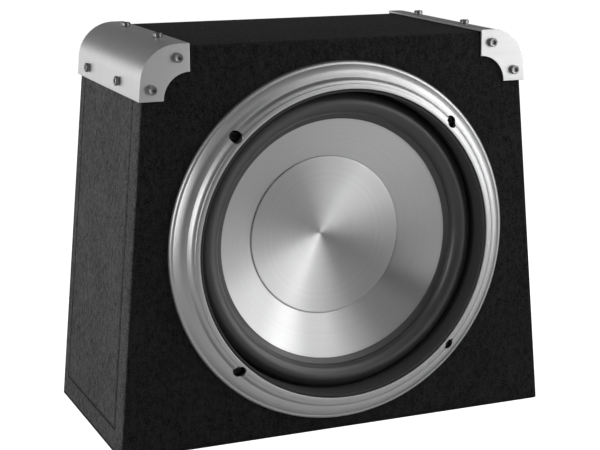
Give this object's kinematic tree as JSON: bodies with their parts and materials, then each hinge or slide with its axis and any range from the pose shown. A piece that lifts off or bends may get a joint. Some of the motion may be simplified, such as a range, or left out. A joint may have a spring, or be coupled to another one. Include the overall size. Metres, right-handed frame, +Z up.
{
  "type": "subwoofer cabinet",
  "caption": "Carpeted trapezoid loudspeaker cabinet with a leaning front, a metal-coned woofer, metal corner covers along its top edges and a spring terminal cup behind.",
  "frame": {"origin": "centre of the base's underside, midway between the carpet's front and back lower edges", "axes": "+Z up; +X to the right as seen from the front; the front with the woofer faces -Y"},
  "size_m": [0.426, 0.2189, 0.3665],
  "materials": {
    "fibreboard": "raw medium density fibreboard",
    "carpet": "black needle-punched carpet, short nap",
    "brushed_cover": "satin brushed sheet",
    "screw_steel": "turned and plated, semi-bright",
    "satin_trim": "satin silver",
    "turned_aluminium": "fine concentric turning marks, semi-bright",
    "surround_rubber": "smooth matt butyl rubber",
    "foam_rubber": "matt closed-cell foam",
    "black_steel": "black powder coat",
    "plated_steel": "zinc plated",
    "ferrite": "matt dark grey sintered ferrite",
    "copper": "bare and enamelled copper",
    "former_film": "black heat-proof film",
    "spider_cloth": "resin-treated cotton, yellow",
    "black_plastic": "moulded, fine grain",
    "red_plastic": "moulded, glossy"
  },
  "bodies": {
    "cabinet": {"basket": "black_steel", "black_contact": "copper", "bottom_panel": "fibreboard", "carpet_bottom": "carpet", "carpet_left": "carpet", "carpet_right": "carpet", "carpet_wrap": "carpet", "driver_screw_1": "screw_steel", "driver_screw_2": "screw_steel", "driver_screw_3": "screw_steel", "driver_screw_4": "screw_steel", "front_baffle": "fibreboard", "gasket_ring": "foam_rubber", "inner_lead_negative": "black_plastic", "inner_lead_positive": "red_plastic", "left_corner_cover": "brushed_cover", "left_cover_screw_back_inner": "screw_steel", "left_cover_screw_back_outer": "screw_steel", "left_cover_screw_face_inner": "screw_steel", "left_cover_screw_face_outer": "screw_steel", "left_cover_screw_side_front": "screw_steel", "left_cover_screw_side_rear": "screw_steel", "left_cover_screw_top_front": "screw_steel", "left_cover_screw_top_rear": "screw_steel", "left_side_panel": "fibreboard", "magnet": "ferrite", "mounting_gasket": "foam_rubber", "rear_panel": "fibreboard", "red_contact": "copper", "right_corner_cover": "brushed_cover", "right_cover_screw_back_inner": "screw_steel", "right_cover_screw_back_outer": "screw_steel", "right_cover_screw_face_inner": "screw_steel", "right_cover_screw_face_outer": "screw_steel", "right_cover_screw_side_front": "screw_steel", "right_cover_screw_side_rear": "screw_steel", "right_cover_screw_top_front": "screw_steel", "right_cover_screw_top_rear": "screw_steel", "right_side_panel": "fibreboard", "spider": "spider_cloth", "surround": "surround_rubber", "terminal_cup": "black_plastic", "terminal_screw_1": "screw_steel", "terminal_screw_2": "screw_steel", "terminal_screw_3": "screw_steel", "terminal_screw_4": "screw_steel", "terminal_strip": "black_plastic", "tinsel_lead_negative": "copper", "tinsel_lead_positive": "copper", "top_panel": "fibreboard", "top_plate": "plated_steel", "trim_ring": "satin_trim", "yoke": "plated_steel"},
    "cone_assembly": {"cone": "turned_aluminium", "dust_cap": "turned_aluminium", "coil_former": "former_film", "voice_coil": "copper"},
    "red_push_lever": {"red_lever": "red_plastic"},
    "black_push_lever": {"black_lever": "black_plastic"}
  },
  "joints": [
    {"name": "cone_travel", "type": "slide", "parent": "cabinet", "child": "cone_assembly", "axis": [0, -0.9996, 0.0277], "range_m": [-0.009, 0.009], "stiffness_N_per_m": 8000, "deforming": ["surround", "spider", "tinsel_lead_positive", "tinsel_lead_negative"]},
    {"name": "red_lever_press", "type": "hinge", "parent": "cabinet", "child": "red_push_lever", "pos_m": [-0.013, 0.0815, 0.081], "axis": [-1, 0, 0], "range_deg": [0, 12], "stiffness_Nm_per_rad": 0.3, "deforming": ["red_contact"]},
    {"name": "black_lever_press", "type": "hinge", "parent": "cabinet", "child": "black_push_lever", "pos_m": [0.013, 0.0815, 0.081], "axis": [-1, 0, 0], "range_deg": [0, 12], "stiffness_Nm_per_rad": 0.3, "deforming": ["black_contact"]}
  ]
}
